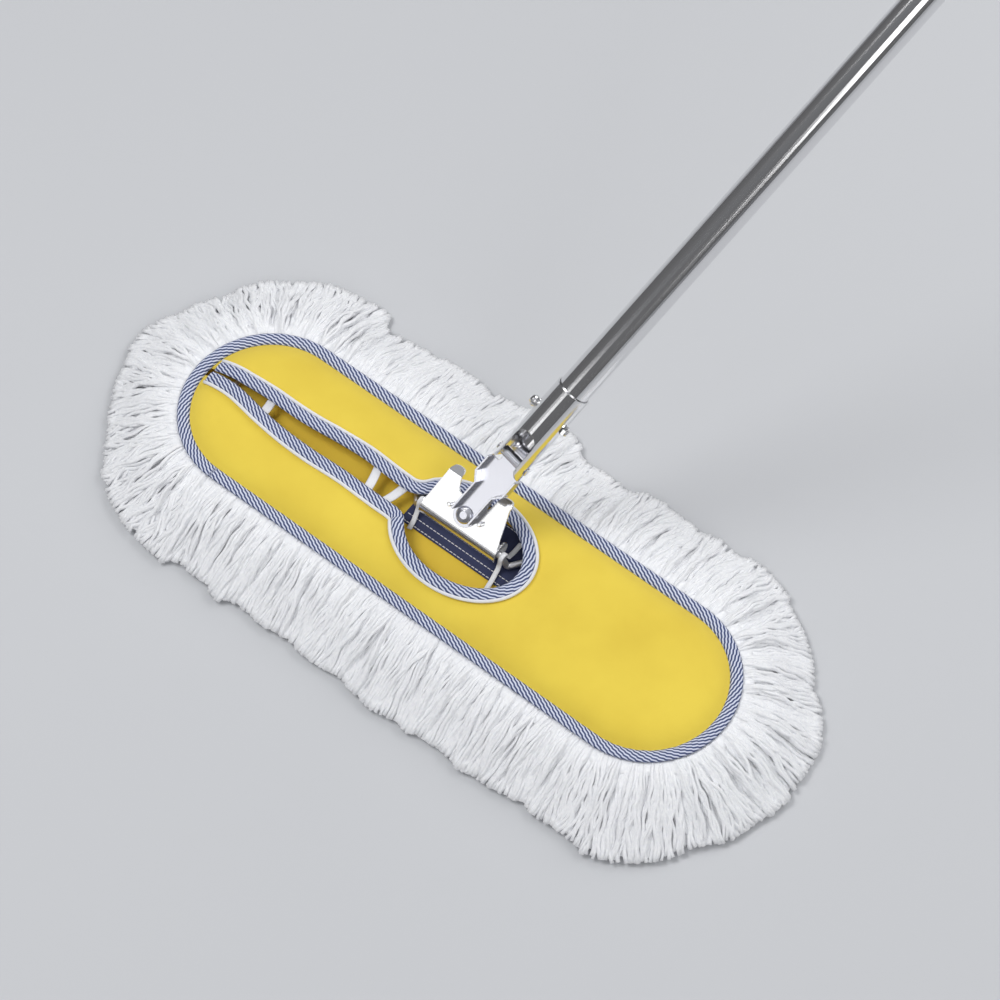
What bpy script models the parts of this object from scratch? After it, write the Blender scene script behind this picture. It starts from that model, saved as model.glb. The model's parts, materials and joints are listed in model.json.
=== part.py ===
"""A flat dust mop: a cotton head on a wire frame, a tilting clamp plate, a swivel arm and a tube handle.

The head lies flat with X along its length, Y across it and Z up. The plate is tilted about the
hinge rod and the arm is turned a little on its rivet, so the handle leans out over the far side.
Lengths are in millimetres and become metres where a mesh is made. The origin is the handle's top.
"""

import math

import bmesh
import bpy
import numpy as np

# Mop head
HALF_STRAIGHT = 177.5  # half of the straight part of the long sides
COVER_RADIUS = 69.0  # the cover's rounded ends
PAD_THICKNESS = 25.0  # yarn pad under the cover
CLOTH = 1.2  # one layer of cloth
CROWN = 9.0  # how far the top cover bulges above its rim
BINDING_WIDTH = 8.2  # striped tape round the edge
BINDING_THICKNESS = 2.5
FRINGE_REACH = 60.0  # yarn beyond the edge binding
FRINGE_TIP = 7.0  # height of the yarn at its outer end
GAP = 0.3

# Keyhole opening of the top cover
OVAL_CENTRE = (6.5, 1.5)
OVAL_HALF = (49.0, 34.5)
SLOT_Y = 0.5
OVAL_LEFT = OVAL_CENTRE[0] - OVAL_HALF[0]
SLOT_END = -(HALF_STRAIGHT + COVER_RADIUS - 9.0)  # just inside the edge binding
KEYHOLE_TAPE = 10.0  # width of the striped tape round the opening
PIPING_RADIUS = 1.3
STRAP_ENDS = (-46.0, 80.0)

# Wire frame
WIRE = 5.0
CLAMP_X = 0.0
ROD_Y = 8.0
LOOP_HALF_LENGTH = HALF_STRAIGHT + 37.5
LOOP_HALF_WIDTH = COVER_RADIUS - 27.0
SPINE_OFFSET = 12.0  # the spine's legs run this far behind the hinge rod

# Clamp plate, arm and handle
TILT = 41.8  # degrees the plate is lifted about the rod
TURN = 12.7  # degrees the arm is turned on the plate
SHEET = 1.5  # steel thickness of the plate and arm
PLATE_HALF_WIDTH = 35.5
CURL_RADIUS = 9.0
ARM_LENGTH = 60.0  # rivet to clevis pin
ARM_WIDTH = 19.0
ARM_FLANGE = 10.0
TEE_WIDTH = 30.0
PIN_HEIGHT = 5.3  # clevis pin above the plate's upper face
PIN_RADIUS = 2.5
SOCKET_RADIUS = 14.0
SOCKET_LENGTH = 70.0
TUBE_RADIUS = 12.5
TUBE_WALL = 0.8
TUBE_START = 32.0  # along the handle from the clevis pin
TUBE_LENGTH = 1200.0
CAP_LENGTH = 26.0
FIT = 0.3  # clearance of a pin in its hole

tilt = math.radians(TILT)
turn = math.radians(TURN)
EX = np.array([1.0, 0.0, 0.0])
PLATE_Y = np.array([0.0, math.cos(tilt), math.sin(tilt)])
NORMAL = np.array([0.0, -math.sin(tilt), math.cos(tilt)])
PIN_DIR = EX * math.cos(turn) - PLATE_Y * math.sin(turn)
ARM_DIR = EX * math.sin(turn) + PLATE_Y * math.cos(turn)

BASE_Z = PAD_THICKNESS + GAP
STRAP_Z = BASE_Z + CLOTH + GAP
LOOP_Z = BASE_Z + CLOTH + 0.5 + WIRE / 2
SPINE_Z = STRAP_Z + CLOTH + 0.5 + WIRE / 2
RIM_Z = BASE_Z + CLOTH + 4.2  # upper face of the cover's flat rim
CREST_Z = RIM_Z + CROWN
ROD_Z = CREST_Z + 0.7
ROD_IN_PLATE = (-14.0, -8.5)  # hinge rod in the plate's own Y and normal
ROD_POINT = np.array([CLAMP_X, ROD_Y, ROD_Z])
RIVET = ROD_POINT - ROD_IN_PLATE[0] * PLATE_Y - ROD_IN_PLATE[1] * NORMAL
PIN = RIVET + ARM_LENGTH * ARM_DIR + PIN_HEIGHT * NORMAL
GRIP = PIN + (TUBE_START + TUBE_LENGTH + CAP_LENGTH) * ARM_DIR

PLATE_FRAME = (RIVET, EX, PLATE_Y, NORMAL)
ARM_FRAME = (RIVET, PIN_DIR, ARM_DIR, NORMAL)
HANDLE_FRAME = (PIN, PIN_DIR, ARM_DIR, NORMAL)
HEAD_FRAME = (np.zeros(3), EX, np.array([0.0, 1.0, 0.0]), np.array([0.0, 0.0, 1.0]))


def new_collection(name):
    made = bpy.data.collections.new(name)
    bpy.context.scene.collection.children.link(made)
    return made


def material(name, colour, metallic=0.0, roughness=0.8):
    made = bpy.data.materials.new(name)
    made.diffuse_color = (*colour, 1.0)
    made.use_nodes = True
    shader = made.node_tree.nodes["Principled BSDF"]
    shader.inputs["Base Color"].default_value = (*colour, 1.0)
    shader.inputs["Metallic"].default_value = metallic
    shader.inputs["Roughness"].default_value = roughness
    return made


def start_body(name, pivot, parent=None):
    """An empty on the joint's axis; what is made next hangs from it."""
    empty = bpy.data.objects.new(name, None)
    empty.empty_display_size = 0.03
    PARTS.objects.link(empty)
    empty.parent = parent
    before = GRIP if parent is None else np.array(parent["pivot_mm"])
    empty.location = (np.asarray(pivot) - before) / 1000.0
    empty["pivot_mm"] = [float(value) for value in pivot]
    BODY["empty"] = empty
    return empty


def solid(name, points, faces, look=None):
    """One closed body from points in the head's frame, in millimetres."""
    mesh = bpy.data.meshes.new(name)
    placed = (np.asarray(points, float) - np.array(BODY["empty"]["pivot_mm"])) / 1000.0
    mesh.from_pydata([tuple(p) for p in placed], [], [tuple(f) for f in faces])
    shape = bmesh.new()
    shape.from_mesh(mesh)
    bmesh.ops.recalc_face_normals(shape, faces=shape.faces)
    shape.to_mesh(mesh)
    shape.free()
    made = bpy.data.objects.new(name, mesh)
    made.parent = BODY["empty"]
    if look is None:
        CUTTERS.objects.link(made)
        made.hide_render = True
        made.display_type = "WIRE"
    else:
        PARTS.objects.link(made)
        mesh.materials.append(look)
    return made


def in_frame(frame, a, b, c):
    return frame[0] + a * frame[1] + b * frame[2] + c * frame[3]


def rings(name, loops, look=None, closed=False):
    """Joins equal loops of points; an open run of loops is capped, a closed one is a ring."""
    count = len(loops[0])
    points = [p for loop in loops for p in loop]
    faces = []
    last = len(loops) if closed else len(loops) - 1
    for i in range(last):
        here = i * count
        there = ((i + 1) % len(loops)) * count
        for j in range(count):
            k = (j + 1) % count
            faces.append((here + j, here + k, there + k, there + j))
    if not closed:
        faces.append(tuple(range(count))[::-1])
        faces.append(tuple(range((len(loops) - 1) * count, len(loops) * count)))
    return solid(name, points, faces, look)


def prism(name, outline, low, high, frame, look=None):
    """A flat outline in the frame's first two directions, raised along its third."""
    loops = [[in_frame(frame, a, b, c) for a, b in outline] for c in (low, high)]
    return rings(name, loops, look)


def turned(name, profile, frame, steps=32, look=None):
    """A profile of (radius, height) turned about the frame's third direction."""
    loops = []
    for radius, height in profile:
        loop = []
        for i in range(steps):
            angle = 2 * math.pi * i / steps
            across = radius * math.cos(angle)
            loop.append(in_frame(frame, across, radius * math.sin(angle), height))
        loops.append(loop)
    return rings(name, loops, look)


def pipe(name, outer, inner, levels, frame, steps=48, look=None):
    """A pipe along the frame's third direction, open at both ends; outer and inner are radii per level."""
    loops = []
    section = list(zip(outer, levels))
    for radius, height in section + list(zip(inner, levels))[::-1]:
        loop = []
        for i in range(steps):
            angle = 2 * math.pi * i / steps
            across = radius * math.cos(angle)
            loop.append(in_frame(frame, across, radius * math.sin(angle), height))
        loops.append(loop)
    return rings(name, loops, look, closed=True)


def along(frame, which, at=(0.0, 0.0, 0.0)):
    """The same frame moved to a point in it, with its chosen direction made the third."""
    spot = in_frame(frame, *at)
    axes = [frame[1], frame[2], frame[3]]
    return (spot, axes[(which + 1) % 3], axes[(which + 2) % 3], axes[which])


def combine(target, other, operation):
    step = target.modifiers.new(operation.lower(), "BOOLEAN")
    step.object = other
    step.operation = operation
    step.solver = "EXACT"
    return target


def stadium(radius, steps=22):
    points = []
    for side, start in ((1, -90.0), (-1, 90.0)):
        for i in range(steps + 1):
            angle = math.radians(start + 180.0 * i / steps)
            across = side * HALF_STRAIGHT + radius * math.cos(angle)
            points.append((across, radius * math.sin(angle)))
    return points


def head_ring(name, section, look):
    """A section of (radius, height) carried round the head."""
    outlines = [[(x, y, z) for x, y in stadium(radius)] for radius, z in section]
    return rings(name, [np.array(line) for line in outlines], look, closed=True)


def wire(name, path, radius, look, closed=False, steps=12):
    """A round wire along points; its section turns with the path."""
    path = np.asarray(path, float)
    if closed:
        ahead = np.roll(path, -1, axis=0) - np.roll(path, 1, axis=0)
    else:
        ahead = np.gradient(path, axis=0)
    loops = []
    for spot, heading in zip(path, ahead):
        heading = heading / np.linalg.norm(heading)
        side = np.cross(heading, (0.0, 0.0, 1.0))
        side = side / np.linalg.norm(side)
        up = np.cross(side, heading)
        loop = []
        for i in range(steps):
            angle = 2 * math.pi * i / steps
            loop.append(spot + radius * (math.cos(angle) * side + math.sin(angle) * up))
        loops.append(loop)
    return rings(name, loops, look, closed)


def rounded(corners, radius, steps=5):
    """A path with its inner corners replaced by short curves."""
    corners = np.asarray(corners, float)
    path = [corners[0]]
    for before, corner, after in zip(corners, corners[1:], corners[2:]):
        back = (before - corner) / np.linalg.norm(before - corner)
        on = (after - corner) / np.linalg.norm(after - corner)
        for i in range(steps + 1):
            t = i / steps
            start = corner + radius * back
            finish = corner + radius * on
            path.append((1 - t) ** 2 * start + 2 * t * (1 - t) * corner + t * t * finish)
    path.append(corners[-1])
    return np.array(path)


def crown_profile():
    """Radius and height of the top cover's upper face, from its edge inwards."""
    rise = CROWN / 9.0
    steps = ((0.0, 0.0), (7.5, 0.0), (10.5, 2.5), (13.5, 4.5), (18.5, 6.9), (24.5, 8.4), (32.0, 9.0))
    return [(COVER_RADIUS - inset, RIM_Z + rise * lift) for inset, lift in steps]


def crown_height(x, y):
    out = math.hypot(max(abs(x) - HALF_STRAIGHT, 0.0), y)
    radii, heights = zip(*reversed(crown_profile()))
    return float(np.interp(out, radii, heights))


def slot_half_width(x):
    return float(np.interp(x, (SLOT_END, -190.0, -125.0, OVAL_LEFT - 10.0), (2.5, 5.0, 7.5, 8.0)))


def bend(start, corner, finish, steps=6):
    start, corner, finish = (np.array(p) for p in (start, corner, finish))
    ts = [i / steps for i in range(steps + 1)]
    return [(1 - t) ** 2 * start + 2 * t * (1 - t) * corner + t * t * finish for t in ts]


def oval_point(angle, grow=0.0):
    angle = math.radians(angle)
    x = OVAL_CENTRE[0] + (OVAL_HALF[0] + grow) * math.cos(angle)
    return (x, OVAL_CENTRE[1] + (OVAL_HALF[1] + grow) * math.sin(angle))


def keyhole_path():
    """The opening's edge, from the slot's outer end along its near side, round the oval and back."""
    runs = list(np.linspace(SLOT_END, -200.0, 13)) + list(np.linspace(-190.0, OVAL_LEFT - 16.0, 9))
    near = [(x, SLOT_Y - slot_half_width(x)) for x in runs]
    far = [(x, SLOT_Y + slot_half_width(x)) for x in reversed(runs)]
    throat = SLOT_Y - slot_half_width(0.0)
    near_bend = bend((OVAL_LEFT - 9.5, throat), (OVAL_LEFT + 2.0, throat), oval_point(206.0))
    throat = SLOT_Y + slot_half_width(0.0)
    far_bend = bend(oval_point(146.0), (OVAL_LEFT + 2.0, throat + 1.5), (OVAL_LEFT - 9.5, throat))
    oval = [oval_point(angle) for angle in np.linspace(216.0, 496.0, 33)]
    return np.array(near + near_bend + oval + far_bend + far)


def outward(path):
    """Directions away from the opening, across its edge."""
    ahead = np.gradient(path, axis=0)
    ahead = ahead / np.linalg.norm(ahead, axis=1)[:, None]
    return np.column_stack([ahead[:, 1], -ahead[:, 0]])


def edge_tape(name, section, look):
    """A section of (distance from the opening, height over the cover) carried round the opening."""
    path = keyhole_path()[1:-1]
    away = outward(path)
    loops = []
    for spot, way in zip(path, away):
        loop = []
        for distance, height in section:
            x, y = spot + distance * way
            loop.append((x, y, crown_height(x, y) + 0.5 + height))
        loops.append(np.array(loop))
    return rings(name, loops, look)


def make_cloth():
    yarn = material("cotton yarn", (0.80, 0.81, 0.83), roughness=0.95)
    yellow = material("yellow cloth", (0.80, 0.60, 0.06))
    stripes = material("striped tape", (0.25, 0.29, 0.42))
    navy = material("navy strap", (0.03, 0.04, 0.09))
    white = material("white tape", (0.80, 0.80, 0.80))
    edge = COVER_RADIUS + 0.7

    pad = [(x, y) for x, y in stadium(edge)]
    prism("yarn_pad", pad, 0.0, PAD_THICKNESS, HEAD_FRAME, yarn)
    inner = edge + 0.6
    top = RIM_Z - 0.2
    outer = edge + FRINGE_REACH
    fall = top - FRINGE_TIP
    section = [(inner, 0.0), (outer, 0.0), (outer, FRINGE_TIP)]
    section += [(inner + 0.70 * FRINGE_REACH, FRINGE_TIP + 0.47 * fall)]
    section += [(inner + 0.30 * FRINGE_REACH, FRINGE_TIP + 0.86 * fall), (inner, top)]
    head_ring("fringe", section, yarn)

    base = stadium(COVER_RADIUS - 1.0)
    prism("cover_base", base, BASE_Z, BASE_Z + CLOTH, HEAD_FRAME, yellow)
    near, far = ROD_Y - 16.0, ROD_Y + 29.0
    left, right = STRAP_ENDS
    strap = [(left, near), (right, near), (right, far), (left, far)]
    prism("navy_strap", strap, STRAP_Z, STRAP_Z + CLOTH, HEAD_FRAME, navy)

    upper = crown_profile()
    loops = [np.array([(x, y, z - CLOTH) for x, y in stadium(r)]) for r, z in reversed(upper)]
    loops += [np.array([(x, y, z) for x, y in stadium(r)]) for r, z in upper]
    cover = rings("cover_top", loops, yellow)
    opening = prism("cut_keyhole", keyhole_path(), RIM_Z - 20.0, CREST_Z + 20.0, HEAD_FRAME)
    combine(cover, opening, "DIFFERENCE")

    low, high = RIM_Z + GAP, RIM_Z + GAP + BINDING_THICKNESS
    inside = edge - BINDING_WIDTH
    section = [(inside, low), (edge, low), (edge, high - 0.9), (edge - 1.2, high)]
    head_ring("edge_binding", section + [(inside + 1.2, high), (inside, high - 0.9)], stripes)

    wide, thick = KEYHOLE_TAPE, BINDING_THICKNESS
    section = [(0.0, 0.0), (wide, 0.0), (wide, thick - 0.9), (wide - 1.2, thick)]
    edge_tape("keyhole_binding", section + [(1.2, thick), (0.0, thick - 0.9)], stripes)
    cord = []
    for i in range(8):
        angle = math.pi * i / 4
        out = wide + 0.4 + PIPING_RADIUS * (1.0 + math.cos(angle))
        cord.append((out, PIPING_RADIUS * (1.0 + math.sin(angle))))
    edge_tape("keyhole_piping", cord, white)

    level = CREST_Z - CLOTH - 0.3
    for number, x in enumerate((-180.0, -79.0, OVAL_LEFT - 16.0), 1):
        tie = [(x - 3.5, SLOT_Y - 15.0), (x + 3.5, SLOT_Y - 15.0)]
        tie += [(x + 3.5, SLOT_Y + 15.0), (x - 3.5, SLOT_Y + 15.0)]
        prism(f"tie_slot_{number}", tie, level - 1.0, level, HEAD_FRAME, white)
    rod_tie("tie_rod_left", CLAMP_X - 37.9, -22.0, 22.0, white)
    rod_tie("tie_rod_right", CLAMP_X + 38.5, -27.0, 20.0, white)


def rod_tie(name, x, near, far, look):
    """A tape from the base over the hinge rod and back to the base."""
    middle = STRAP_Z + CLOTH + GAP + 0.5
    loop = WIRE / 2 + 0.9
    path = [(ROD_Y + near, middle), (ROD_Y - loop - 3.0, middle), (ROD_Y - loop, middle + 4.0)]
    for i in range(9):
        angle = math.pi * (1.0 - i / 8)
        path.append((ROD_Y + loop * math.cos(angle), ROD_Z + loop * math.sin(angle)))
    path += [(ROD_Y + loop, middle + 4.0), (ROD_Y + loop + 3.0, middle), (ROD_Y + far, middle)]
    path = np.array(path)
    ahead = np.gradient(path, axis=0)
    ahead = ahead / np.linalg.norm(ahead, axis=1)[:, None]
    across = np.column_stack([-ahead[:, 1], ahead[:, 0]]) * 0.5
    loops = []
    for spot, half in zip(path, across):
        (y0, z0), (y1, z1) = spot - half, spot + half
        low, high = x - 2.0, x + 2.0
        loops.append(np.array([(low, y0, z0), (high, y0, z0), (high, y1, z1), (low, y1, z1)]))
    rings(name, loops, look)


def make_frame():
    steel = material("frame wire", (0.45, 0.45, 0.46), 1.0, 0.35)
    straight = LOOP_HALF_LENGTH - LOOP_HALF_WIDTH
    loop = []
    for side, start in ((1, -90.0), (-1, 90.0)):
        for i in range(17):
            angle = math.radians(start + 180.0 * i / 16)
            x = CLAMP_X + side * straight + LOOP_HALF_WIDTH * math.cos(angle)
            loop.append((x, ROD_Y + LOOP_HALF_WIDTH * math.sin(angle), LOOP_Z))
    wire("frame_loop", loop, WIRE / 2, steel, closed=True)
    # The legs end just inside the loop, which they meet off its centre line.
    inside = LOOP_HALF_WIDTH - WIRE / 2
    reach = straight + math.sqrt(inside**2 - (SPINE_OFFSET + WIRE / 2) ** 2) - 0.6
    knee, foot = PLATE_HALF_WIDTH + 1.0, PLATE_HALF_WIDTH + 7.0
    leg = SPINE_OFFSET
    right = [(knee, 0.0, ROD_Z), (foot, 0.0, SPINE_Z), (foot + 9.0, leg, SPINE_Z)]
    right += [(reach, leg, SPINE_Z)]
    stops = [(-x, y, z) for x, y, z in reversed(right)] + right
    corners = [(CLAMP_X + x, ROD_Y + y, z) for x, y, z in stops]
    wire("spine_wire", rounded(corners, 1.9), WIRE / 2, steel)


def sheet_profile():
    """Side view of the plate's sheet: curled front, flat, and the bent-down horn ends."""
    y0, n0 = -12.0, -CURL_RADIUS
    outer = []
    inner = []
    for i in range(13):
        angle = math.radians(192.0 - 102.0 * i / 12)
        outer.append((y0 + CURL_RADIUS * math.cos(angle), n0 + CURL_RADIUS * math.sin(angle)))
        small = CURL_RADIUS - SHEET
        inner.append((y0 + small * math.cos(angle), n0 + small * math.sin(angle)))
    drop = SHEET * math.tan(math.radians(22.5))
    outer += [(22.0, 0.0), (30.0, -8.0)]
    inner += [(22.0 - drop, -SHEET), (30.0 - drop - SHEET * 0.707, -8.0 - SHEET * 0.293)]
    return outer + inner[::-1]


def make_plate():
    steel = material("bright steel", (0.75, 0.75, 0.76), 1.0, 0.22)
    half = PLATE_HALF_WIDTH
    side_view = (RIVET, PLATE_Y, NORMAL, EX)
    plate = prism("clamp_plate", sheet_profile(), -half, half, side_view, steel)

    right = [(half - 0.5, -28.0), (half - 0.5, -12.0), (half - 6.9, 20.0), (half - 7.4, 24.0)]
    right += [(half - 8.6, 26.2), (half - 11.0, 27.0), (half - 15.0, 27.0), (half - 17.4, 26.2)]
    right += [(half - 18.6, 24.0), (half - 19.4, 20.0), (half - 21.3, 14.4), (half - 23.0, 12.4)]
    right += [(half - 25.2, 11.7)]
    plan = right + [(-x, y) for x, y in reversed(right)]
    outline = prism("cut_plate_outline", plan, -30.0, 6.0, PLATE_FRAME)
    combine(plate, outline, "INTERSECT")

    for side in (-1, 1):
        inner, outer = side * (half - 0.5 - SHEET), side * (half - 0.5)
        ear_frame = (in_frame(PLATE_FRAME, 0.0, -12.0, -CURL_RADIUS), PLATE_Y, NORMAL, EX)
        profile = [(CURL_RADIUS - 0.6, inner), (CURL_RADIUS - 0.6, outer)]
        ear = turned(f"join_ear_{'right' if side > 0 else 'left'}", profile, ear_frame, 40)
        combine(plate, ear, "UNION")
    rod_frame = (in_frame(PLATE_FRAME, 0.0, *ROD_IN_PLATE), PLATE_Y, NORMAL, EX)
    bore = WIRE / 2 + 0.4
    hole = turned("cut_rod", [(bore, -60.0), (bore, 60.0)], rod_frame, 24)
    combine(plate, hole, "DIFFERENCE")
    hole = turned("cut_plate_rivet", [(3.0 + FIT, -8.0), (3.0 + FIT, 8.0)], PLATE_FRAME, 24)
    combine(plate, hole, "DIFFERENCE")

    profile = [(0.9, -SHEET - 1.1), (2.2, -SHEET - 1.1), (2.2, -SHEET - GAP), (1.2, -SHEET - GAP)]
    profile += [(1.2, GAP), (1.75, GAP), (1.75, 3.6), (1.2, 4.2)]
    for side in (-1, 1):
        word = "right" if side > 0 else "left"
        frame = (in_frame(PLATE_FRAME, side * 14.0, 0.7, 0.0), EX, PLATE_Y, NORMAL)
        hole = turned(f"cut_stud_{word}", [(1.2 + FIT, -8.0), (1.2 + FIT, 8.0)], frame, 16)
        combine(plate, hole, "DIFFERENCE")
        turned(f"stop_stud_{word}", profile, frame, 16, steel)


def make_arm():
    steel = material("arm steel", (0.70, 0.70, 0.72), 1.0, 0.25)
    low, top = GAP, GAP + SHEET
    half, wide = ARM_WIDTH / 2, TEE_WIDTH / 2
    tee0, tee1 = ARM_LENGTH - 26.0, ARM_LENGTH - 11.0
    tongue = 8.0
    right = [(half * math.cos(a), half * math.sin(a)) for a in np.linspace(-math.pi / 2, 0.0, 9)]
    right += [(half, tee0 - 7.0), (wide, tee0), (wide, tee1), (tongue + 1.0, tee1)]
    right += [(tongue, tee1 + 1.0), (tongue, ARM_LENGTH)]
    plan = right + [(-a, b) for a, b in reversed(right[1:])]
    block = prism("swivel_arm", plan, low, low + ARM_FLANGE, ARM_FRAME, steel)

    # The channel's hollow: everything above the floor between the flanges.
    inside = half - SHEET
    right = [(inside, -20.0), (inside, tee0 - 6.4), (wide - SHEET, tee0 + 0.6)]
    right += [(wide - SHEET, tee1 + 20.0)]
    plan = right + [(-a, b) for a, b in reversed(right)]
    hollow = prism("cut_channel", plan, top, low + ARM_FLANGE + 10.0, ARM_FRAME)
    combine(block, hollow, "DIFFERENCE")
    # The flanges start beside the rivet and the tongue past the tee has none.
    edge = half + 8.0
    outline = [(-edge, -20.0), (edge, -20.0), (edge, -0.5), (-edge, -0.5)]
    combine(block, prism("cut_heel", outline, top, 40.0, ARM_FRAME), "DIFFERENCE")

    knuckle_frame = along(HANDLE_FRAME, 0)
    knuckle = turned("join_knuckle", [(4.0, -10.0), (4.0, 10.0)], knuckle_frame, 32)
    combine(block, knuckle, "UNION")
    bore = PIN_RADIUS + FIT
    hole = turned("cut_knuckle", [(bore, -20.0), (bore, 20.0)], knuckle_frame, 24)
    combine(block, hole, "DIFFERENCE")
    hole = turned("cut_arm_rivet", [(3.0 + FIT, -8.0), (3.0 + FIT, 8.0)], ARM_FRAME, 24)
    combine(block, hole, "DIFFERENCE")

    under = -SHEET - GAP
    head = top + GAP
    profile = [(4.6, under - 0.9), (5.5, under - 0.4), (5.5, under), (3.0, under), (3.0, head)]
    profile += [(6.6, head), (6.8, head + 0.6), (5.6, head + 1.7), (3.0, head + 2.3)]
    turned("swivel_rivet", profile, ARM_FRAME, 28, steel)


def make_handle():
    chrome = material("polished steel", (0.78, 0.78, 0.79), 1.0, 0.12)
    grey = material("grey plastic", (0.16, 0.16, 0.17), roughness=0.5)
    axis = along(HANDLE_FRAME, 1)
    across = along(HANDLE_FRAME, 0)

    bore = TUBE_RADIUS + GAP
    socket = pipe("handle_socket", (SOCKET_RADIUS,) * 2, (bore,) * 2, (-15.0, SOCKET_LENGTH), axis, 48, chrome)
    # Side view: the end is rounded about the pin, full height from the pin upwards.
    big = SOCKET_RADIUS + 2.0
    view = (PIN, ARM_DIR, NORMAL, PIN_DIR)
    outline = [(-10.0 * math.sin(a), 10.0 * math.cos(a)) for a in np.linspace(0, math.pi, 17)]
    outline += [(0.0, -big), (SOCKET_LENGTH + 5.0, -big), (SOCKET_LENGTH + 5.0, big), (0.0, big)]
    combine(socket, prism("cut_socket_end", outline, -big, big, view), "INTERSECT")
    reach, slot = 28.0, 8.8
    outline = [(-slot, -20.0), (slot, -20.0)]
    for angle in np.linspace(0.0, math.pi, 13):
        outline.append((slot * math.cos(angle), reach - slot + slot * math.sin(angle)))
    combine(socket, prism("cut_socket_slot", outline, 0.83, big, HANDLE_FRAME), "DIFFERENCE")
    hole_radius = PIN_RADIUS + FIT
    profile = [(hole_radius, -30.0), (hole_radius, 30.0)]
    combine(socket, turned("cut_socket_pin", profile, across, 24), "DIFFERENCE")
    bolt_frame = along(HANDLE_FRAME, 0, (0.0, 43.0, 0.0))
    bolt_hole = turned("cut_socket_bolt", profile, bolt_frame, 24)
    combine(socket, bolt_hole, "DIFFERENCE")

    finish = TUBE_START + TUBE_LENGTH
    inner = TUBE_RADIUS - TUBE_WALL
    # The tube's end in the socket is drawn down a little.
    levels = (TUBE_START, TUBE_START + 22.0, TUBE_START + 30.0, finish)
    outside = (TUBE_RADIUS - 0.1, TUBE_RADIUS - 0.1, TUBE_RADIUS, TUBE_RADIUS)
    inside = tuple(radius - TUBE_WALL for radius in outside)
    tube = pipe("handle_tube", outside, inside, levels, axis, 48, chrome)
    combine(tube, bolt_hole, "DIFFERENCE")

    plug = inner - GAP
    profile = [(plug - 1.0, finish - 20.0), (plug, finish - 18.0), (plug, finish + GAP)]
    profile += [(TUBE_RADIUS + 0.9, finish + GAP), (TUBE_RADIUS + 0.9, finish + 16.0)]
    profile += [(TUBE_RADIUS - 1.0, finish + 22.0), (TUBE_RADIUS - 6.0, finish + CAP_LENGTH)]
    cap = turned("handle_end_cap", profile, axis, 40, grey)
    hang = along(HANDLE_FRAME, 0, (0.0, finish + 12.0, 0.0))
    combine(cap, turned("cut_hang_hole", [(4.0, -30.0), (4.0, 30.0)], hang, 24), "DIFFERENCE")

    wall = SOCKET_RADIUS + GAP
    profile = [(2.6, -wall - 0.8), (3.4, -wall - 0.4), (3.4, -wall), (PIN_RADIUS, -wall)]
    profile += [(PIN_RADIUS, wall), (3.4, wall), (3.4, wall + 0.4), (2.6, wall + 0.8)]
    turned("clevis_pin", profile, across, 24, chrome)
    profile = [(1.6, -wall - 6.2), (3.4, -wall - 5.4), (4.6, -wall - 3.4), (4.6, -wall - 1.8)]
    profile += [(3.6, -wall), (PIN_RADIUS, -wall), (PIN_RADIUS, wall + 3.4), (2.0, wall + 4.0)]
    turned("socket_bolt", profile, bolt_frame, 24, chrome)
    pipe_frame = along(HANDLE_FRAME, 0, (0.0, 43.0, 0.0))
    nut = turned("socket_nut", [(4.4, wall), (4.4, wall + 2.6)], pipe_frame, 6, chrome)
    hole = turned("cut_nut", [(hole_radius, wall - 4.0), (hole_radius, wall + 9.0)], pipe_frame, 24)
    combine(nut, hole, "DIFFERENCE")


for item in list(bpy.data.objects):
    bpy.data.objects.remove(item)
PARTS = new_collection("flat_mop")
CUTTERS = new_collection("cutters")
BODY = {}
handle = start_body("handle_body", GRIP)
make_handle()
arm = start_body("arm_body", PIN, handle)
make_arm()
plate = start_body("plate_body", RIVET, arm)
make_plate()
start_body("head_body", ROD_POINT, plate)
make_cloth()
make_frame()
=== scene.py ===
"""Visual model of the flat mop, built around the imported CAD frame.

Lengths are in millimetres from the head's centre on the floor, with X along the head, Y across it
and Z up. add_mesh and place turn them into the frame's own metres, which the floor, the lamps
and the camera use too.
"""

import json
import math

import bpy
import numpy as np
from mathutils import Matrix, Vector


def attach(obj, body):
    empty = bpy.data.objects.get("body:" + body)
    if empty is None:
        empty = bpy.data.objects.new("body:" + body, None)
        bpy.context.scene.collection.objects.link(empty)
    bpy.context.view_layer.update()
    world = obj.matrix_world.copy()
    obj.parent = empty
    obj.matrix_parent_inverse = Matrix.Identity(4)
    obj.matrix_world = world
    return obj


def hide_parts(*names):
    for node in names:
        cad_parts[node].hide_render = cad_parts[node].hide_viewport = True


with open("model.json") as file:
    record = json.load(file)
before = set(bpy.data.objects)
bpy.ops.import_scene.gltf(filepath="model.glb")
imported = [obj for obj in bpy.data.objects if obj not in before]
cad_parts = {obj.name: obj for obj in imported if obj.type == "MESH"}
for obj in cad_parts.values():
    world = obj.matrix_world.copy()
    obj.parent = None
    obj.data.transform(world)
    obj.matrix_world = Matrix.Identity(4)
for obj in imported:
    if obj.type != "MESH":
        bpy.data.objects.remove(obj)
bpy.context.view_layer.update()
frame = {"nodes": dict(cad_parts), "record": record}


def named(rows, name):
    return next(row for row in rows if row["name"] == name)


# The head's centre on the floor and the hinge rod, from the record's mount and joint.
record = frame["record"]
ORIGIN = -1000.0 * np.array(named(record["mounts"], "floor_side")["pos_m"])
rod = named(record["behaviour"]["joints"], "plate_tilt")["pos_m"]
ROD_X, ROD_Y, ROD_Z = 1000.0 * np.array(rod) + ORIGIN

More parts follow.
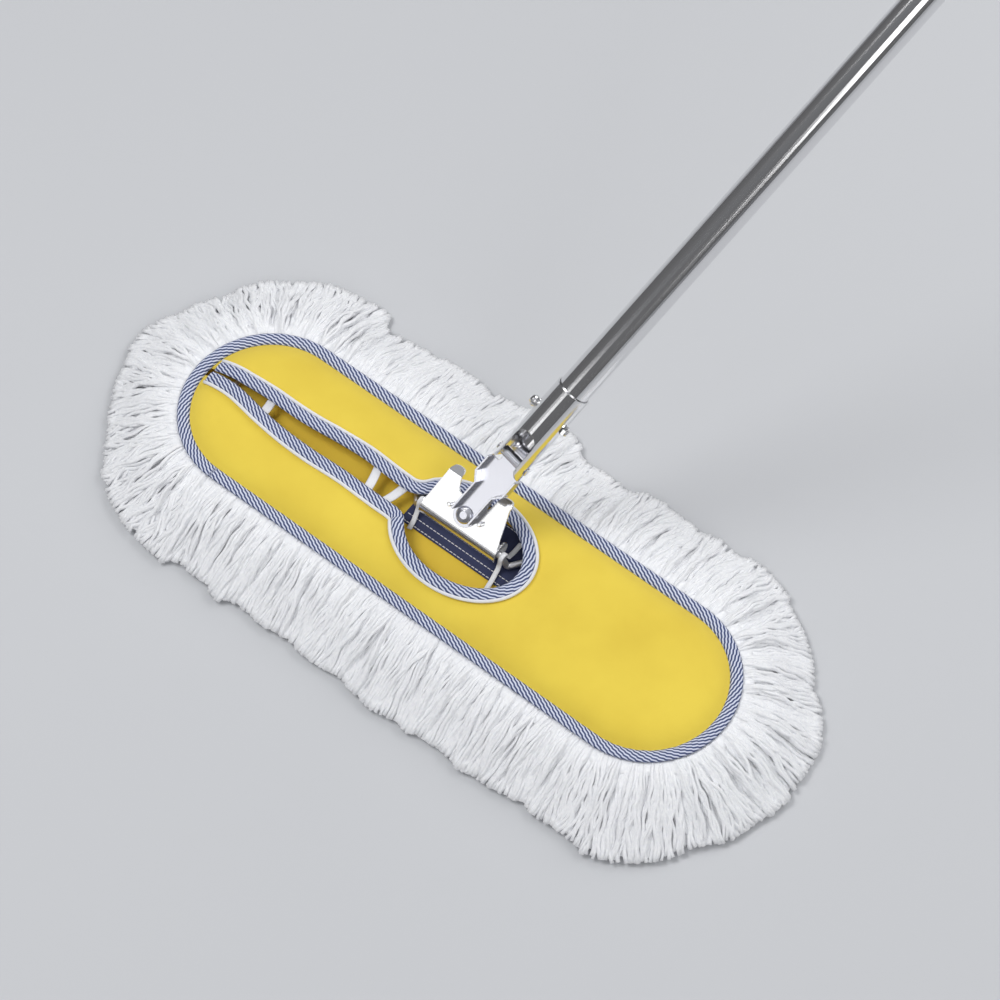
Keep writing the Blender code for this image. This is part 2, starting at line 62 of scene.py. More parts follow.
# Head
HALF = 177.5  # half of the straight part of the long sides
COVER_R = 69.0  # radius of the cover's ends
RIM_Z = 30.7  # upper face of the cover's flat rim
BASE_Z = 26.5  # upper face of the cover's base
TAPE_Z = 29.0  # ends of the tapes over the rod, just above the strap
RING_R = 70.0  # arc lengths round the head are measured on this radius
RING = 4 * HALF + 2 * math.pi * RING_R

# Keyhole opening
OVAL_X, OVAL_Y = 6.5, 1.5
OVAL_RX, OVAL_RY = 49.0, 34.5
OVAL_LEFT = OVAL_X - OVAL_RX
SLOT_Y = 0.5
SLOT_END = -(HALF + COVER_R - 9.0)
SLOT_HALF = 8.0  # half width of the slot where it meets the oval
STRAP_ENDS = (-46.0, 80.0)
STRAP_SIDES = (-8.0, 37.0)

# Fringe
LAYERS = (900, 900, 860)  # strands in each layer, from the lowest up
LOWER_LAYER = 700  # strands seen from underneath
PAD_ROWS = 250
TUFTS = 170  # loose bundles that the strands fall into
FRINGE_START = 68.0  # radius where the strands begin
rng = np.random.default_rng(5)


# ---------- helpers ----------
def add_mesh(name, points, faces, mat, uvs=None):
    """A smooth mesh on the head's body. uvs holds one pair for each point."""
    mesh = bpy.data.meshes.new(name)
    mesh.from_pydata(place(points).tolist(), [], [list(f) for f in faces])
    mesh.materials.append(mat)
    mesh.polygons.foreach_set("use_smooth", [True] * len(mesh.polygons))
    if uvs is not None:
        layer = mesh.uv_layers.new(name="UVMap")
        index = np.empty(len(mesh.loops), np.int32)
        mesh.loops.foreach_get("vertex_index", index)
        layer.data.foreach_set("uv", (np.asarray(uvs, float)[index]).astype(np.float32).ravel())
    mesh.update()
    obj = link(bpy.data.objects.new(name, mesh))
    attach(obj, "head")
    return obj


def place(points):
    return (np.asarray(points, float) - ORIGIN) / 1000.0


def link(obj):
    bpy.context.scene.collection.objects.link(obj)
    return obj


def stand_for(obj, node_name):
    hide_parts(node_name)


def turns(count):
    """Angles that divide a full turn."""
    return np.arange(count) * 2 * math.pi / count


def tubes(name, paths, radii, mat, sides=5):
    """Many strands in one mesh. paths is (count, steps, 3), radii (count, steps)."""
    paths = np.asarray(paths, float)
    count, steps, _ = paths.shape
    ahead = np.gradient(paths, axis=1)
    ahead /= np.linalg.norm(ahead, axis=2, keepdims=True) + 1e-9
    up = np.zeros_like(ahead)
    up[..., 2] = 1.0
    side = np.cross(ahead, up)
    side /= np.linalg.norm(side, axis=2, keepdims=True) + 1e-9
    up = np.cross(side, ahead)
    angle = turns(sides)
    ring = np.cos(angle)[:, None] * side[:, :, None, :] + np.sin(angle)[:, None] * up[:, :, None, :]
    points = paths[:, :, None, :] + ring * np.asarray(radii)[:, :, None, None]
    base = np.arange(count)[:, None, None] * steps * sides
    row = np.arange(steps - 1)[None, :, None] * sides
    j = np.arange(sides)[None, None, :]
    k = (j + 1) % sides
    a = base + row + j
    b = base + row + k
    faces = np.stack([a, b, b + sides, a + sides], axis=-1).reshape(-1, 4).tolist()
    starts = [i * steps * sides for i in range(count)]
    last = (steps - 1) * sides
    faces += [list(range(start, start + sides))[::-1] for start in starts]
    faces += [list(range(start + last, start + last + sides)) for start in starts]
    return add_mesh(name, points.reshape(-1, 3), faces, mat)


def sweep(name, loops, mat, closed=False, uvs=None):
    """A skin over loops of points, either closed into a ring or capped at both ends."""
    loops = np.asarray(loops, float)
    n, m, _ = loops.shape
    faces = []
    for i in range(n if closed else n - 1):
        after = (i + 1) % n
        for j in range(m):
            k = (j + 1) % m
            faces.append((i * m + j, after * m + j, after * m + k, i * m + k))
    if not closed:
        faces.append(tuple(range(m))[::-1])
        faces.append(tuple(range((n - 1) * m, n * m)))
    return add_mesh(name, loops.reshape(-1, 3), faces, mat, uvs)


def stadium_at(s, r):
    """Points at arc length s and distance r from the head's middle line, and their outward directions."""
    arc = math.pi * RING_R
    s = np.asarray(s, float) % RING
    x = np.empty_like(s)
    nx = np.empty_like(s)
    ny = np.empty_like(s)
    near = s < 2 * HALF
    x[near] = -HALF + s[near]
    nx[near], ny[near] = 0.0, -1.0
    right = (s >= 2 * HALF) & (s < 2 * HALF + arc)
    a = -math.pi / 2 + (s[right] - 2 * HALF) / RING_R
    x[right], nx[right], ny[right] = HALF, np.cos(a), np.sin(a)
    far = (s >= 2 * HALF + arc) & (s < 4 * HALF + arc)
    x[far] = HALF - (s[far] - 2 * HALF - arc)
    nx[far], ny[far] = 0.0, 1.0
    left = s >= 4 * HALF + arc
    a = math.pi / 2 + (s[left] - 4 * HALF - arc) / RING_R
    x[left], nx[left], ny[left] = -HALF, np.cos(a), np.sin(a)
    return x + nx * r, ny * r, nx, ny


def ring_rows(s, rows):
    """Loops for sweep from rows of radius and height, each a number or one value for each s."""
    made = []
    for r, z in rows:
        x, y, _, _ = stadium_at(s, r)
        made.append(np.stack([x, y, np.broadcast_to(z, x.shape)], axis=-1))
    return np.array(made).transpose(1, 0, 2)


def wobble(s, scale, seed, t=0.0, drift=1.0):
    """Smooth random curve of arc length that closes on itself, mostly from -1 to 1."""
    pick = np.random.default_rng(seed)
    base = RING / scale
    out = np.zeros(np.broadcast(s, t).shape)
    for i in range(7):
        waves = max(1, int(round(base * pick.uniform(0.5, 1.5))))
        phase = pick.uniform(0, 2 * math.pi)
        shift = drift * pick.normal() * np.asarray(t)
        out = out + np.sin(2 * math.pi * waves * np.asarray(s) / RING + phase + shift)
    return out / 2.6


def beyond_middle(x, y):
    """Distance from the middle line that the head's outline is drawn round."""
    return np.hypot(np.maximum(np.abs(x) - HALF, 0.0), y)


def crown(x, y):
    """Height of the bulging top cover."""
    inset = COVER_R - beyond_middle(x, y)
    steps = (0, 7.5, 9, 11, 13.5, 16, 19, 24, 32)
    return RIM_Z + np.interp(inset, steps, (0, 0, 1.2, 2.9, 4.4, 5.7, 6.9, 8.2, 9.0))


def slot_half(x):
    """Half width of the slot: nearly shut at its far end, widest in the middle."""
    steps = (SLOT_END, -205.0, -180.0, -125.0, -90.0, OVAL_LEFT - 14.0)
    return np.interp(x, steps, (0.7, 2.2, 5.0, 7.9, 8.3, SLOT_HALF))


def slot_sway(x):
    """How far the soft edges of the slot wander sideways."""
    steps = (SLOT_END, SLOT_END + 25.0, -95.0, OVAL_LEFT - 16.0)
    ease = np.interp(x, steps, (0.0, 1.0, 1.0, 0.0))
    return 1.3 * ease * np.sin((x - SLOT_END) / 19.0)


def bend(a, c, b, steps=8):
    a, c, b = (np.array(p, float) for p in (a, c, b))
    return [(1 - t) ** 2 * a + 2 * t * (1 - t) * c + t * t * b for t in np.linspace(0, 1, steps + 1)]


def oval(angle, grow=0.0):
    a = math.radians(angle)
    return (OVAL_X + (OVAL_RX + grow) * math.cos(a), OVAL_Y + (OVAL_RY + grow) * math.sin(a))


def keyhole(grow=0.0):
    """Outline of the keyhole, from the slot's far end round the oval and back, made wider by grow."""
    runs = list(np.linspace(SLOT_END - 1.0, OVAL_LEFT - 16.0, 60))
    near = [(x, SLOT_Y + slot_sway(x) - slot_half(x) - grow) for x in runs]
    far = [(x, SLOT_Y + slot_sway(x) + slot_half(x) + grow) for x in reversed(runs)]
    low_y, high_y = SLOT_Y - SLOT_HALF - grow, SLOT_Y + SLOT_HALF + grow
    throat, corner = OVAL_LEFT - 9.5, OVAL_LEFT + 2.0 - grow * 0.6
    outline = near + bend((throat, low_y), (corner, low_y), oval(206.0, grow))
    outline += [oval(a, grow) for a in np.linspace(214.0, 498.0, 72)]
    outline += bend(oval(506.0, grow), (corner, high_y + 1.5), (throat, high_y)) + far
    return np.array(outline)


def outward(path):
    ahead = np.gradient(path, axis=0)
    ahead /= np.linalg.norm(ahead, axis=1)[:, None]
    return np.column_stack([ahead[:, 1], -ahead[:, 0]])


# ---------- materials ----------
def new_mat(name, color, rough=0.8, metal=0.0, sheen=0.0):
    mat = bpy.data.materials.new(name)
    mat.use_nodes = True
    tree = mat.node_tree
    shader = tree.nodes["Principled BSDF"]
    shader.inputs["Base Color"].default_value = (*color, 1)
    shader.inputs["Roughness"].default_value = rough
    shader.inputs["Metallic"].default_value = metal
    if sheen:
        shader.inputs["Sheen Weight"].default_value = sheen
    return mat, tree, shader


def node(tree, kind, **inputs):
    made = tree.nodes.new(kind)
    for key, value in inputs.items():
        made.inputs[key.replace("_", " ")].default_value = value
    return made


def bump(tree, shader, height, strength, distance):
    """Height in the shader's normal, with distance in metres."""
    made = node(tree, "ShaderNodeBump", Strength=strength, Distance=distance)
    tree.links.new(height, made.inputs["Height"])
    tree.links.new(made.outputs["Normal"], shader.inputs["Normal"])


def math_node(tree, kind, a, b):
    """One step of arithmetic. b is a number or another node's output."""
    made = tree.nodes.new("ShaderNodeMath")
    made.operation = kind
    tree.links.new(a, made.inputs[0])
    if isinstance(b, float):
        made.inputs[1].default_value = b
    else:
        tree.links.new(b, made.inputs[1])
    return made.outputs[0]


def sine_node(tree, value, period):
    """Sine of a value that repeats after period."""
    scaled = math_node(tree, "MULTIPLY", value, 2 * math.pi / period)
    made = tree.nodes.new("ShaderNodeMath")
    made.operation = "SINE"
    tree.links.new(scaled, made.inputs[0])
    return made.outputs[0]


def ramp(tree, factor, stops):
    made = tree.nodes.new("ShaderNodeValToRGB")
    elements = made.color_ramp.elements
    elements[0].position, elements[0].color = stops[0][0], (*stops[0][1], 1)
    elements[1].position, elements[1].color = stops[-1][0], (*stops[-1][1], 1)
    for pos, col in stops[1:-1]:
        elements.new(pos).color = (*col, 1)
    tree.links.new(factor, made.inputs["Fac"])
    return made.outputs["Color"]


def yarn_material():
    mat, tree, shader = new_mat("yarn_white", (0.86, 0.87, 0.89), 0.92, sheen=0.3)
    coords = tree.nodes.new("ShaderNodeTexCoord")
    noise = node(tree, "ShaderNodeTexNoise", Scale=420.0, Detail=3.0)
    tree.links.new(coords.outputs["Object"], noise.inputs["Vector"])
    color = ramp(tree, noise.outputs["Fac"], ((0.3, (0.82, 0.83, 0.86)), (0.7, (0.90, 0.905, 0.915))))
    tree.links.new(color, shader.inputs["Base Color"])
    bump(tree, shader, noise.outputs["Fac"], 0.5, 0.0006)
    return mat


def cloth_material(name, dark, light, weave=900.0):
    """Woven cloth with weave threads to the metre, blotched a little between two colours."""
    mat, tree, shader = new_mat(name, light, 0.85, sheen=0.15)
    coords = tree.nodes.new("ShaderNodeTexCoord")
    noise = node(tree, "ShaderNodeTexNoise", Scale=18.0, Detail=4.0)
    tree.links.new(coords.outputs["Object"], noise.inputs["Vector"])
    color = ramp(tree, noise.outputs["Fac"], ((0.25, dark), (0.7, light)))
    tree.links.new(color, shader.inputs["Base Color"])
    split = tree.nodes.new("ShaderNodeSeparateXYZ")
    tree.links.new(coords.outputs["Object"], split.inputs[0])
    threads = [sine_node(tree, split.outputs[axis], 1.0 / weave) for axis in ("X", "Y")]
    bump(tree, shader, math_node(tree, "MULTIPLY", *threads), 0.25, 0.0003)
    return mat


def tape_material():
    """Diagonal blue and white stripes from the tape's own length and width, both in millimetres."""
    mat, tree, shader = new_mat("tape_striped", (0.6, 0.6, 0.7), 0.85)
    uv = tree.nodes.new("ShaderNodeUVMap")
    uv.uv_map = "UVMap"
    split = tree.nodes.new("ShaderNodeSeparateXYZ")
    tree.links.new(uv.outputs["UV"], split.inputs[0])
    slanted = math_node(tree, "MULTIPLY", split.outputs["Y"], 1.9)
    stripe = sine_node(tree, math_node(tree, "ADD", split.outputs["X"], slanted), 5.4)
    thread = sine_node(tree, split.outputs["Y"], 2.3)
    mixed = math_node(tree, "ADD", stripe, math_node(tree, "MULTIPLY", thread, 0.5))
    half = math_node(tree, "ADD", math_node(tree, "MULTIPLY", mixed, 0.5), 0.5)
    color = ramp(tree, half, ((0.40, (0.045, 0.065, 0.17)), (0.70, (0.66, 0.70, 0.84))))
    tree.links.new(color, shader.inputs["Base Color"])
    bump(tree, shader, half, 0.5, 0.0005)
    return mat


def steel_material(name, color, rough, grain=0.0):
    """Steel with softened edges and, where grain is given, a fine uneven surface."""
    mat, tree, shader = new_mat(name, color, rough, 1.0)
    bevel = node(tree, "ShaderNodeBevel", Radius=0.0004)
    bevel.samples = 4
    if grain:
        coords = tree.nodes.new("ShaderNodeTexCoord")
        noise = node(tree, "ShaderNodeTexNoise", Scale=600.0, Detail=2.0)
        tree.links.new(coords.outputs["Object"], noise.inputs["Vector"])
        made = node(tree, "ShaderNodeBump", Strength=grain, Distance=0.0001)
        tree.links.new(noise.outputs["Fac"], made.inputs["Height"])
        tree.links.new(bevel.outputs[0], made.inputs["Normal"])
        tree.links.new(made.outputs["Normal"], shader.inputs["Normal"])
    else:
        tree.links.new(bevel.outputs[0], shader.inputs["Normal"])
    return mat


YARN = yarn_material()
YELLOW = cloth_material("cloth_yellow", (0.76, 0.56, 0.055), (0.84, 0.64, 0.07))
# The base cloth seen through the keyhole: the yellow cloth made darker and more orange, which is painted
# shade for the recess under the cover.
INNER_PAINTED_SHADE = cloth_material("cloth_inner_painted_shade", (0.74, 0.50, 0.04), (0.80, 0.56, 0.05))
TAPE = tape_material()
NAVY = cloth_material("strap_navy", (0.022, 0.028, 0.075), (0.03, 0.038, 0.10), weave=700.0)
WHITE = cloth_material("tape_white", (0.76, 0.77, 0.80), (0.84, 0.84, 0.86))
CHROME = steel_material("chrome_tube", (0.82, 0.82, 0.83), 0.12)
BRIGHT = steel_material("bright_plate", (0.84, 0.84, 0.85), 0.2, 0.04)
ARM = steel_material("bright_arm", (0.76, 0.765, 0.82), 0.24, 0.04)
WIRE = steel_material("frame_wire", (0.74, 0.74, 0.76), 0.42)
CAP = new_mat("cap_grey", (0.05, 0.05, 0.055), 0.45)[0]


# ---------- cotton fringe ----------
def fringe_height(t):
    """Height of the fringe from its root, at t = 0, to its tip, at t = 1."""
    steps = (0, 0.1, 0.3, 0.5, 0.7, 0.85, 1.0)
    return np.interp(t, steps, (29.6, 29.6, 26.4, 21.0, 14.0, 8.5, 3.2))


def reach(s):
    return 61.0 + 3.6 * wobble(s, 110.0, 11) + 2.0 * wobble(s, 34.0, 12)


def random_phase(count):
    return rng.uniform(0, 6, (count, 1))


def strand_paths(count, layer):
    """Middle lines of one layer's strands, and how far along each point is, from 0 to 1."""
    s = (np.arange(count) + rng.uniform(-0.35, 0.35, count)) * RING / count
    t = np.linspace(0, 1, 16)[None, :]
    length = reach(s) * rng.uniform(0.985, 1.005, count) * (1.0, 0.98, 0.93)[layer]
    s = s[:, None]
    # Sideways: broad leans, narrow waves, the pull into tufts, then each strand's own bends.
    lean = 5.0 * wobble(s, 70.0, 21 + layer, t, 1.2) * t
    lean += 2.4 * wobble(s, 17.0, 31 + layer, t, 2.2) * np.minimum(t * 2.2, 1.0)
    tuft = 2 * math.pi * TUFTS * s / RING + 1.6 * wobble(s, 60.0, 51, t, 1.5)
    lean -= 0.8 * RING / TUFTS / (2 * math.pi) * np.sin(tuft) * np.minimum(t * 1.6, 1.0)
    lean += 0.4 * rng.normal(size=(count, 1)) * np.sin(t * 3.0 + random_phase(count))
    lean += 0.6 * np.sin(t * 19.0 + random_phase(count)) * np.minimum(t * 3, 1.0)
    r = FRINGE_START + (2.0 + length[:, None]) * t
    shifted = s + lean
    x, _, nx, ny = (v.reshape(shifted.shape) for v in stadium_at(shifted.ravel(), 0.0))
    # Upwards: the layer's bulge, folds and tufts, then each strand's own waves.
    z = fringe_height(t) + (0.0, 1.6, 2.8)[layer] * np.sin(math.pi * np.clip(t * 1.05, 0, 1))
    folds = 2.3 * wobble(s, 15.0, 41, t, 2.0) + 0.8 * wobble(s, 6.0, 44, t, 4.0)
    folds = folds + 1.3 * np.cos(tuft)
    z = z + folds * np.sin(math.pi * np.clip(t, 0, 1)) ** 0.7
    z = z + rng.normal(0, 0.35, (count, 1)) * t + 0.35 * np.sin(t * 21.0 + random_phase(count))
    return np.stack([x + nx * r, ny * r, np.maximum(z, 1.3)], axis=-1), t


def make_strands():
    for layer, count in enumerate(LAYERS):
        paths, t = strand_paths(count, layer)
        taper = np.interp(t, (0, 0.15, 0.9, 1.0), (0.8, 1.0, 1.15, 1.1))
        radii = rng.uniform(1.2, 1.6, (count, 1)) * taper
        yield tubes(f"fringe_yarn_{layer + 1}", paths, radii, YARN)


def make_core(s):
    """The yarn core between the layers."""
    rows = []
    for t, drop in ((0.0, 0.6), (0.15, 0.5), (0.35, 0.6), (0.6, 0.7), (0.85, 0.8), (0.95, 1.0)):
        rows.append((66.0 + (2.0 + reach(s)) * t, np.maximum(fringe_height(t) - drop, 1.2)))
    rows += [(rows[-1][0], 2.3), (rows[0][0], 2.3)]
    return sweep("fringe_core", ring_rows(s, rows), YARN, closed=True)


def make_header(s):
    """The sewn top of the fringe: a smooth strip just outside the binding, lightly gathered."""
    gather = 0.35 * np.sin(2 * math.pi * s * 160 / RING) + 0.3 * wobble(s, 9.0, 61)
    section = [(67.5, 30.6, 0.1), (71.0, 31.0, 0.3), (75.0, 30.6, 0.8)]
    section += [(79.0, 29.6, 1.2), (79.0, 28.8, 1.2), (67.5, 29.8, 0.1)]
    rows = [(r + loose * wobble(s, 12.0, 62), z + loose * gather) for r, z, loose in section]
    return sweep("fringe_header", ring_rows(s, rows), YARN, closed=True)


def make_lower_strands():
    paths, t = strand_paths(LOWER_LAYER, 2)
    paths[..., 2] = 1.7 + 0.3 * np.sin(t * 15.0 + random_phase(LOWER_LAYER))
    return tubes("fringe_yarn_under", paths, np.full(paths.shape[:2], 1.3), YARN)


def make_pad_rows():
    """Rows of yarn sewn across the underside of the pad."""
    middle = np.linspace(-236, 236, PAD_ROWS) + rng.uniform(-0.5, 0.5, PAD_ROWS)
    half = np.sqrt(np.maximum(FRINGE_START**2 - np.maximum(np.abs(middle) - HALF, 0) ** 2, 20.0))
    t = np.linspace(-1, 1, 14)[None, :]
    x = middle[:, None] + 1.8 * np.sin(t * 5 + random_phase(PAD_ROWS))
    z = 1.9 + 0.6 * np.sin(t * 9 + random_phase(PAD_ROWS))
    paths = np.stack([x, half[:, None] * t, z], -1)
    return tubes("pad_yarn", paths, np.full(x.shape, 1.35), YARN)


def make_fringe():
    s = np.linspace(0, RING, 640, endpoint=False)
    parts = list(make_strands()) + [make_core(s), make_header(s), make_lower_strands()]
    rows = make_pad_rows()
    section = ((67.5, 2.0), (68.2, 4.0), (68.2, 24.6), (0.5, 24.6), (0.5, 2.0))
    pad = sweep("pad_core", ring_rows(s, section), YARN, closed=True)
    for piece in parts:
        stand_for(piece, "fringe")
    for piece in (rows, pad):
        stand_for(piece, "yarn_pad")


# ---------- cloth ----------
def inside_polygon(px, py, poly):
    inside = np.zeros(px.shape, bool)
    x1, y1 = poly[-1]
    for x2, y2 in poly:
        cross = ((y1 > py) != (y2 > py)) & (px < (x2 - x1) * (py - y1) / (y2 - y1 + 1e-12) + x1)
        inside ^= cross
        x1, y1 = x2, y2
    return inside


def cloth_grid(name, step, limit, height, mat, hole=None):
    """A cloth of the head's outline on a square grid, 1 mm thick, and its flat area in square metres."""
    xs = np.arange(-HALF - limit, HALF + limit + step, step)
    ys = np.arange(-limit, limit + step, step)
    gx, gy = np.meshgrid(xs, ys, indexing="ij")
    cx, cy = (gx[:-1, :-1] + step / 2), (gy[:-1, :-1] + step / 2)
    keep = beyond_middle(cx, cy) < limit
    if hole is not None:
        keep &= ~inside_polygon(cx, cy, hole)
    i, j = np.nonzero(keep)
    n = len(ys)
    a = i * n + j
    faces = np.stack([a, a + n, a + n + 1, a + 1], -1)
    used, inverse = np.unique(faces.ravel(), return_inverse=True)
    px, py = gx.ravel()[used], gy.ravel()[used]
    points = np.stack([px, py, height(px, py)], -1)
    obj = add_mesh(name, points, inverse.reshape(-1, 4).tolist(), mat)
    thicken = obj.modifiers.new("thickness", "SOLIDIFY")
    thicken.thickness = 0.001
    thicken.offset = -1.0
    return obj, len(faces) * step * step / 1e6


def cover_height(x, y):
    """The crown with shallow ripples, which fade out towards the edge."""
    inner = np.clip((COVER_R - 9 - beyond_middle(x, y)) / 20.0, 0, 1)
    ripple = 0.35 * np.sin(x / 31.0 + y / 19.0) + 0.25 * np.sin(x / 17.0 - y / 27.0 + 1.0)
    return crown(x, y) + ripple * inner - 0.1


def base_height(x, y):
    return BASE_Z + 0 * x


def make_cloth():
    cover, area = cloth_grid("cover_cloth", 2.5, 66.5, cover_height, YELLOW, keyhole(3.0))
    stand_for(cover, "cover_top")
    base, area = cloth_grid("base_cloth", 4.0, 67.0, base_height, INNER_PAINTED_SHADE)
    # The base takes the darker yellow, painted shade for the recess under the cover.
    stand_for(base, "cover_base")


def run_along(points):
    """Distance of each point from the first, along them."""
    points = np.array(points, float)
    return np.r_[0, np.cumsum(np.linalg.norm(np.diff(points, axis=0), axis=1))]


def make_edge_tape():
    """The folded tape round the head's edge."""
    s = np.linspace(0, RING, 460, endpoint=False)
    section = [(-0.9, 0.2), (1.4, 0.0), (6.8, 0.0), (8.2, 0.5), (8.6, 1.9)]
    section += [(7.6, 2.9), (5.6, 3.1), (2.6, 3.0), (0.4, 2.4), (-0.9, 1.3)]
    swell = 0.25 * wobble(s, 14.0, 77)
    rows = [(61.2 + dr, RIM_Z + 0.2 + dz + (dz > 1) * swell) for dr, dz in section]
    uvs = [(value, v) for value in s for v in run_along(section)]
    tape = sweep("edge_tape", ring_rows(s, rows), TAPE, closed=True, uvs=uvs)
    stand_for(tape, "edge_binding")


def make_keyhole_tape():
    """The tape round the keyhole, with a cord of piping along its outer edge."""
    path = keyhole()[2:-2]
    section = [(0.0, 0.0), (4.5, 0.0), (9.0, 0.0), (9.6, 0.9), (8.6, 2.2)]
    section += [(6.5, 2.7), (3.5, 2.8), (1.2, 2.4), (-0.2, 1.2)]
    across = run_along(section)
    loops, uvs, cord = [], [], []
    for spot, way, run in zip(path, outward(path), run_along(path)):
        line = []
        for (d, h), v in zip(section, across):
            x, y = spot + way * d
            swell = 0.5 * math.sin(run / 13.0) * (h > 1)
            line.append((x, y, float(crown(x, y)) + 0.3 + h + swell))
            uvs.append((run, v))
        loops.append(line)
        x, y = spot + way * 10.5
        cord.append((x, y, float(crown(x, y)) + 1.5))
    tape = sweep("keyhole_tape", loops, TAPE, uvs=uvs)
    stand_for(tape, "keyhole_binding")
    piping = tubes("keyhole_cord", [cord], np.full((1, len(cord)), 1.35), WHITE, sides=8)
    stand_for(piping, "keyhole_piping")


def ribbon(name, path, half, thick, node_name):
    """A flat white tape along a path, half wide to each side."""
    path = np.array(path, float)
    ahead = np.gradient(path, axis=0)
    ahead /= np.linalg.norm(ahead, axis=1)[:, None]
    side = np.array([1.0, 0, 0])[None] - ahead * ahead[:, :1]
    side /= np.linalg.norm(side, axis=1)[:, None]
    up = np.cross(side, ahead)
    around = turns(10)[:, None]
    section = [(half * np.cos(around) * sd + thick * np.sin(around) * u) for sd, u in zip(side, up)]
    obj = sweep(name, path[:, None, :] + np.array(section), WHITE)
    stand_for(obj, node_name)


def slot_tape(number, x, lean):
    """A short tape across the slot, slightly bowed."""
    path = []
    for t in np.linspace(-1, 1, 11):
        path.append((x - lean * t, SLOT_Y + 13.0 * t, 38.0 - 0.9 * math.cos(3 * t)))
    ribbon(f"slot_tape_{number}", path, 3.6, 0.6, f"tie_slot_{number}")


def rod_tape(side, x, near, far):
    """A tape from the base over the hinge rod and back down to the base."""
    path = [(x + 3.0, ROD_Y + near, TAPE_Z), (x + 1.5, ROD_Y + near * 0.6, TAPE_Z + 0.2)]
    path += [(x, ROD_Y - 6.1, 31.5), (x, ROD_Y - 4.1, 36.5)]
    for a in np.linspace(math.pi, 0, 9):
        path.append((x, ROD_Y + 3.6 * math.cos(a), ROD_Z + 3.6 * math.sin(a)))
    path += [(x, ROD_Y + 3.9, 36.5), (x, ROD_Y + 6.1, 31.5)]
    path += [(x, ROD_Y + far * 0.6, TAPE_Z + 0.2), (x, ROD_Y + far, TAPE_Z)]
    ribbon(f"rod_tape_{side}", path, 2.0, 0.65, f"tie_rod_{side}")


def make_ties():
    slot_tape(1, -180.0, 1.0)
    slot_tape(2, -79.0, 3.0)
    slot_tape(3, OVAL_LEFT - 16.0, -3.5)
    rod_tape("left", ROD_X - 37.9, -19.0, 20.0)
    rod_tape("right", ROD_X + 38.5, -25.0, 22.0)


def make_strap():
    """The navy strap inside the opening, with three rows of stitches."""
    near, far = STRAP_SIDES
    z0, z1 = 26.9, 28.0
    section = [(near, z0), (far, z0), (far + 0.3, (z0 + z1) / 2)]
    section += [(far, z1), (near, z1), (near - 0.3, (z0 + z1) / 2)]
    loops = [[(x, y, z) for y, z in section] for x in np.linspace(*STRAP_ENDS, 34)]
    strap = sweep("strap_cloth", loops, NAVY)
    strap.data.polygons.foreach_set("use_smooth", [False] * len(strap.data.polygons))
    stand_for(strap, "navy_strap")
    paths = []
    for y in (near + 1.2, near + 7.5, far - 1.2):
        for x in np.arange(STRAP_ENDS[0] + 2.0, STRAP_ENDS[1] - 3.0, 3.4):
            paths.append([(x, y, z1 + 0.05), (x + 1.2, y, z1 + 0.3), (x + 2.5, y, z1 + 0.05)])
    stitches = tubes("strap_stitches", paths, np.full((len(paths), 3), 0.35), WHITE)


# ---------- metal: the CAD solids, shaded ----------
def dress(node_names, mat, angle=28.0):
    """Gives CAD nodes a material and smooth faces, with edges sharper than angle kept."""
    for node_name in node_names:
        obj = frame["nodes"][node_name]
        mesh = obj.data
        mesh.materials.clear()
        mesh.materials.append(mat)
        mesh.polygons.foreach_set("material_index", [0] * len(mesh.polygons))
        mesh.set_sharp_from_angle(angle=math.radians(angle))
        mesh.polygons.foreach_set("use_smooth", [True] * len(mesh.polygons))


def dress_metal():
    dress(("handle_tube", "handle_socket", "socket_bolt", "clevis_pin", "socket_nut"), CHROME)
    dress(("clamp_plate", "stop_stud_left", "stop_stud_right"), BRIGHT, 6.0)
    dress(("swivel_arm", "swivel_rivet"), ARM)
    dress(("frame_loop", "spine_wire"), WIRE)
    dress(("handle_end_cap",), CAP)


# ---------- stage, light and camera ----------
CENTRE = place((0, 0, 31))
AZIMUTH, ELEVATION = math.radians(38.0), math.radians(61.5)


def make_floor():
    mesh = bpy.data.meshes.new("floor")
    half = 6.0
    z = place((0, 0, 0))[2] - 0.0006
    corners = [(-half, -half, z), (half, -half, z), (half, half, z), (-half, half, z)]
    mesh.from_pydata(corners, [], [(0, 1, 2, 3)])
    mesh.materials.append(new_mat("floor_pale", (0.56, 0.57, 0.59), 0.7)[0])
    link(bpy.data.objects.new("floor", mesh))


def aim(obj, target):
    way = Vector(target) - obj.location
    obj.rotation_euler = way.to_track_quat("-Z", "Y").to_euler()


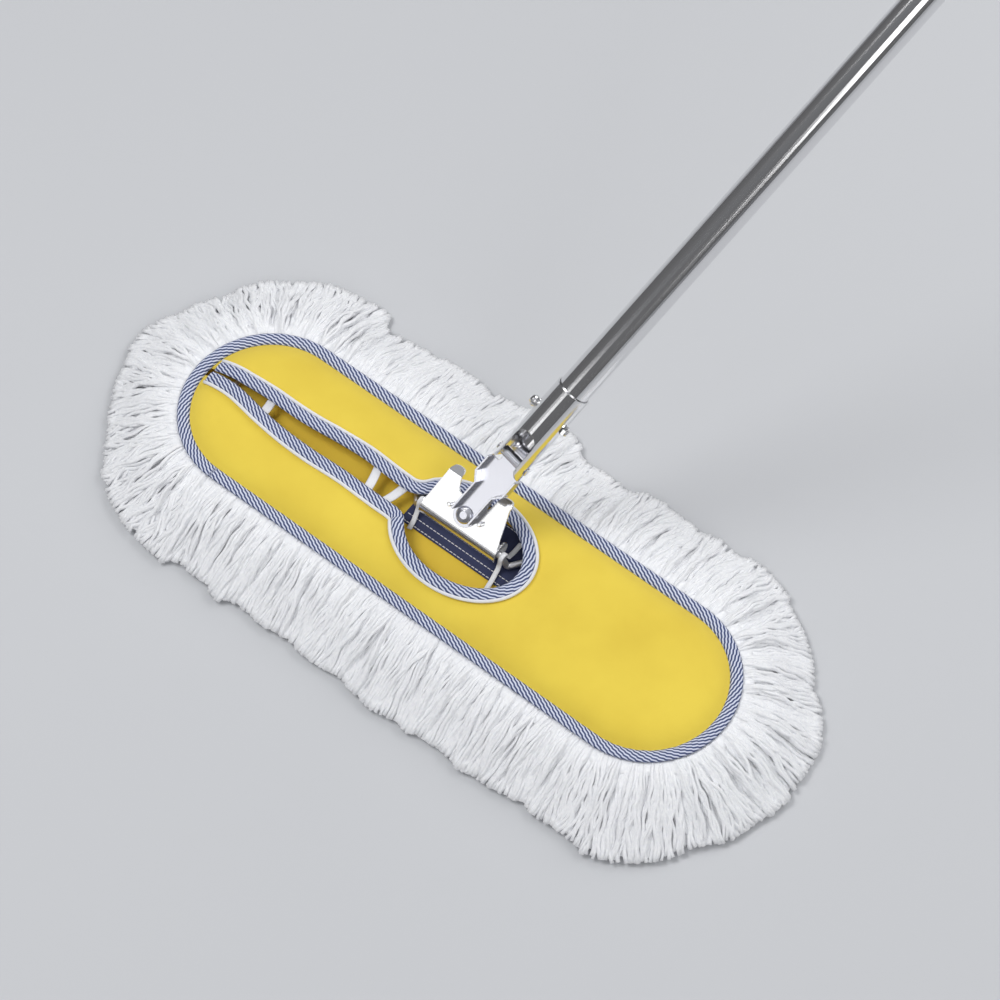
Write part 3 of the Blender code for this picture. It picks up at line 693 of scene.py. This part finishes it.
def make_camera():
    right = np.array([math.cos(AZIMUTH), math.sin(AZIMUTH), 0.0])
    level = math.cos(ELEVATION)
    back = np.array([math.sin(AZIMUTH) * level, -math.cos(AZIMUTH) * level, math.sin(ELEVATION)])
    target = CENTRE + 0.0331 * right + 0.0316 * np.cross(back, right)
    data = bpy.data.cameras.new("camera")
    data.lens = 145.0
    data.sensor_width = 36.0
    data.clip_end = 50.0
    camera = link(bpy.data.objects.new("camera", data))
    camera.location = target + 2.976 * back
    aim(camera, target)
    bpy.context.scene.camera = camera


def lamp(name, offset, size, power, size_y=None, target=CENTRE):
    """An area lamp at an offset from the centre, in metres, with its power in watts."""
    light = bpy.data.lights.new(name, "AREA")
    light.size = size
    if size_y:
        light.shape = "RECTANGLE"
        light.size_y = size_y
    light.energy = power
    obj = link(bpy.data.objects.new(name, light))
    obj.location = CENTRE + np.array(offset)
    aim(obj, target)


def make_lamps():
    lamp("key", (-1.3, -0.6, 2.3), 1.2, 33.0)
    lamp("fill", (1.5, -1.4, 1.8), 1.6, 17.0)
    lamp("back", (0.3, 2.2, 1.6), 1.4, 24.0)
    lamp("strip", (1.6, 0.9, 1.4), 0.25, 9.0, size_y=1.8, target=place((140, 480, 480)))
    # Where the tilted plate mirrors the camera's view.
    lamp("plate", (-0.588, -1.666, 0.942), 0.5, 1.15)


def make_world():
    """A soft sky that is bright overhead and grey towards the horizon."""
    world = bpy.data.worlds.new("world")
    bpy.context.scene.world = world
    world.use_nodes = True
    tree = world.node_tree
    ground = tree.nodes["Background"]
    coords = tree.nodes.new("ShaderNodeTexCoord")
    split = tree.nodes.new("ShaderNodeSeparateXYZ")
    tree.links.new(coords.outputs["Generated"], split.inputs[0])
    stops = [(0.0, (0.30, 0.30, 0.31)), (0.45, (0.34, 0.34, 0.35)), (0.62, (0.42, 0.43, 0.45))]
    stops += [(0.75, (0.85, 0.86, 0.9)), (1.0, (0.9, 0.92, 0.96))]
    tree.links.new(ramp(tree, split.outputs["Z"], stops), ground.inputs["Color"])
    ground.inputs["Strength"].default_value = 0.42
    bpy.context.scene.view_settings.view_transform = "Standard"


make_fringe()
make_cloth()
make_edge_tape()
make_keyhole_tape()
make_ties()
make_strap()
dress_metal()
make_floor()
make_camera()
make_lamps()
make_world()
